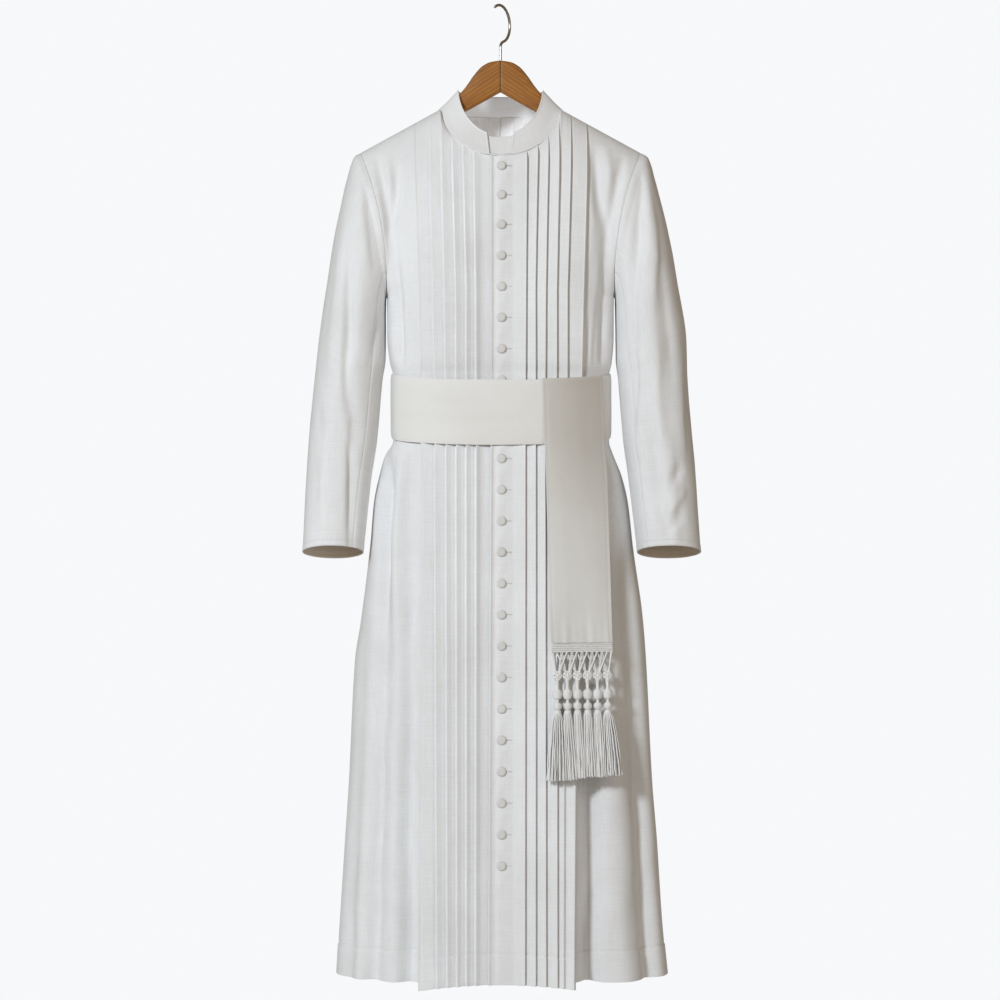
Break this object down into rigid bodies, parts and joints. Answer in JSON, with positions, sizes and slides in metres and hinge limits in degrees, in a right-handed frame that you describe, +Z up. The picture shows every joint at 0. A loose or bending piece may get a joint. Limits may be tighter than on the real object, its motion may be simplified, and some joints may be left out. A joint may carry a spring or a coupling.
{
  "type": "cassock on a hanger",
  "caption": "Long white cassock with knife-pleated buttoned front, band collar and fringed fascia, hung on a wooden hanger.",
  "frame": {"origin": "inside of the hook's crown, where a rail carries the hanger", "axes": "+Z up, +Y from the garment's front to its back, +X to the wearer's left"},
  "size_m": [0.651, 0.2865, 1.6045],
  "materials": {
    "cassock_cloth": "plain white wool blend with a soft, almost matt face",
    "collar_cloth": "stiff white cloth, smooth and matt",
    "fascia_cloth": "ivory silk-like cloth with a soft sheen",
    "button_cloth": "white cloth-covered domes with a soft sheen",
    "fringe_silk": "glossy white twisted silk",
    "hanger_wood": "clear-lacquered golden wood with fine grain",
    "hook_wire": "polished steel wire"
  },
  "bodies": {
    "root": {"front_left": "cassock_cloth", "front_right": "cassock_cloth", "back_left": "cassock_cloth", "back_right": "cassock_cloth", "sleeve_left_upper": "cassock_cloth", "sleeve_left_under": "cassock_cloth", "sleeve_right_upper": "cassock_cloth", "sleeve_right_under": "cassock_cloth", "collar_band": "collar_cloth", "collar_tab": "collar_cloth", "fascia_band": "fascia_cloth", "fascia_fall": "fascia_cloth", "fringe_net": "fringe_silk", "tassel_1": "fringe_silk", "tassel_2": "fringe_silk", "tassel_3": "fringe_silk", "tassel_4": "fringe_silk", "tassel_5": "fringe_silk", "tassel_6": "fringe_silk", "button_01": "button_cloth", "button_02": "button_cloth", "button_03": "button_cloth", "button_04": "button_cloth", "button_05": "button_cloth", "button_06": "button_cloth", "button_07": "button_cloth", "button_08": "button_cloth", "button_09": "button_cloth", "button_10": "button_cloth", "button_11": "button_cloth", "button_12": "button_cloth", "button_13": "button_cloth", "button_14": "button_cloth", "button_15": "button_cloth", "button_16": "button_cloth", "button_17": "button_cloth", "button_18": "button_cloth", "button_19": "button_cloth", "button_20": "button_cloth", "button_21": "button_cloth", "button_22": "button_cloth", "button_23": "button_cloth", "button_24": "button_cloth", "hanger_arm_left": "hanger_wood", "hanger_arm_right": "hanger_wood", "hanger_hook": "hook_wire"}
  },
  "joints": []
}
